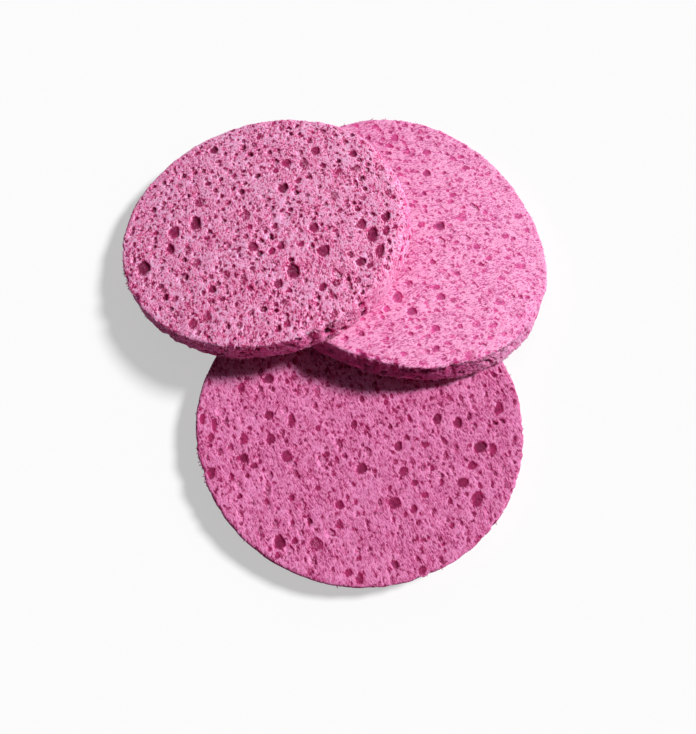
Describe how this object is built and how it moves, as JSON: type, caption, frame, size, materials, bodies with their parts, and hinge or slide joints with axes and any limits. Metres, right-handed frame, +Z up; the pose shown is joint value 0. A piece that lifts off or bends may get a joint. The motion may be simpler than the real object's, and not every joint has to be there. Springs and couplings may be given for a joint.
{
  "type": "facial cleansing sponge",
  "caption": "Round, flat pink cellulose face-cleansing sponges with open pores, lying loosely on one another, each one lifting off.",
  "frame": {"origin": "centre of the flat underside of the bottom sponge, on the table", "axes": "+Z up, +Y away from the viewer over the two leaning sponges, +X to the viewer's right"},
  "size_m": [0.1149, 0.134, 0.0237],
  "materials": {
    "bottom_foam": "matt open-celled cellulose foam",
    "right_foam": "matt open-celled cellulose foam",
    "left_foam": "matt open-celled cellulose foam"
  },
  "bodies": {
    "bottom": {"bottom_sponge": "bottom_foam"},
    "right": {"right_sponge": "right_foam"},
    "left": {"left_sponge": "left_foam"}
  },
  "joints": [
    {"name": "right_lift", "type": "slide", "parent": "bottom", "child": "right", "axis": [0, 0, 1], "range_m": [0, 0.05]},
    {"name": "left_lift", "type": "slide", "parent": "right", "child": "left", "axis": [0, 0, 1], "range_m": [0, 0.05]}
  ]
}
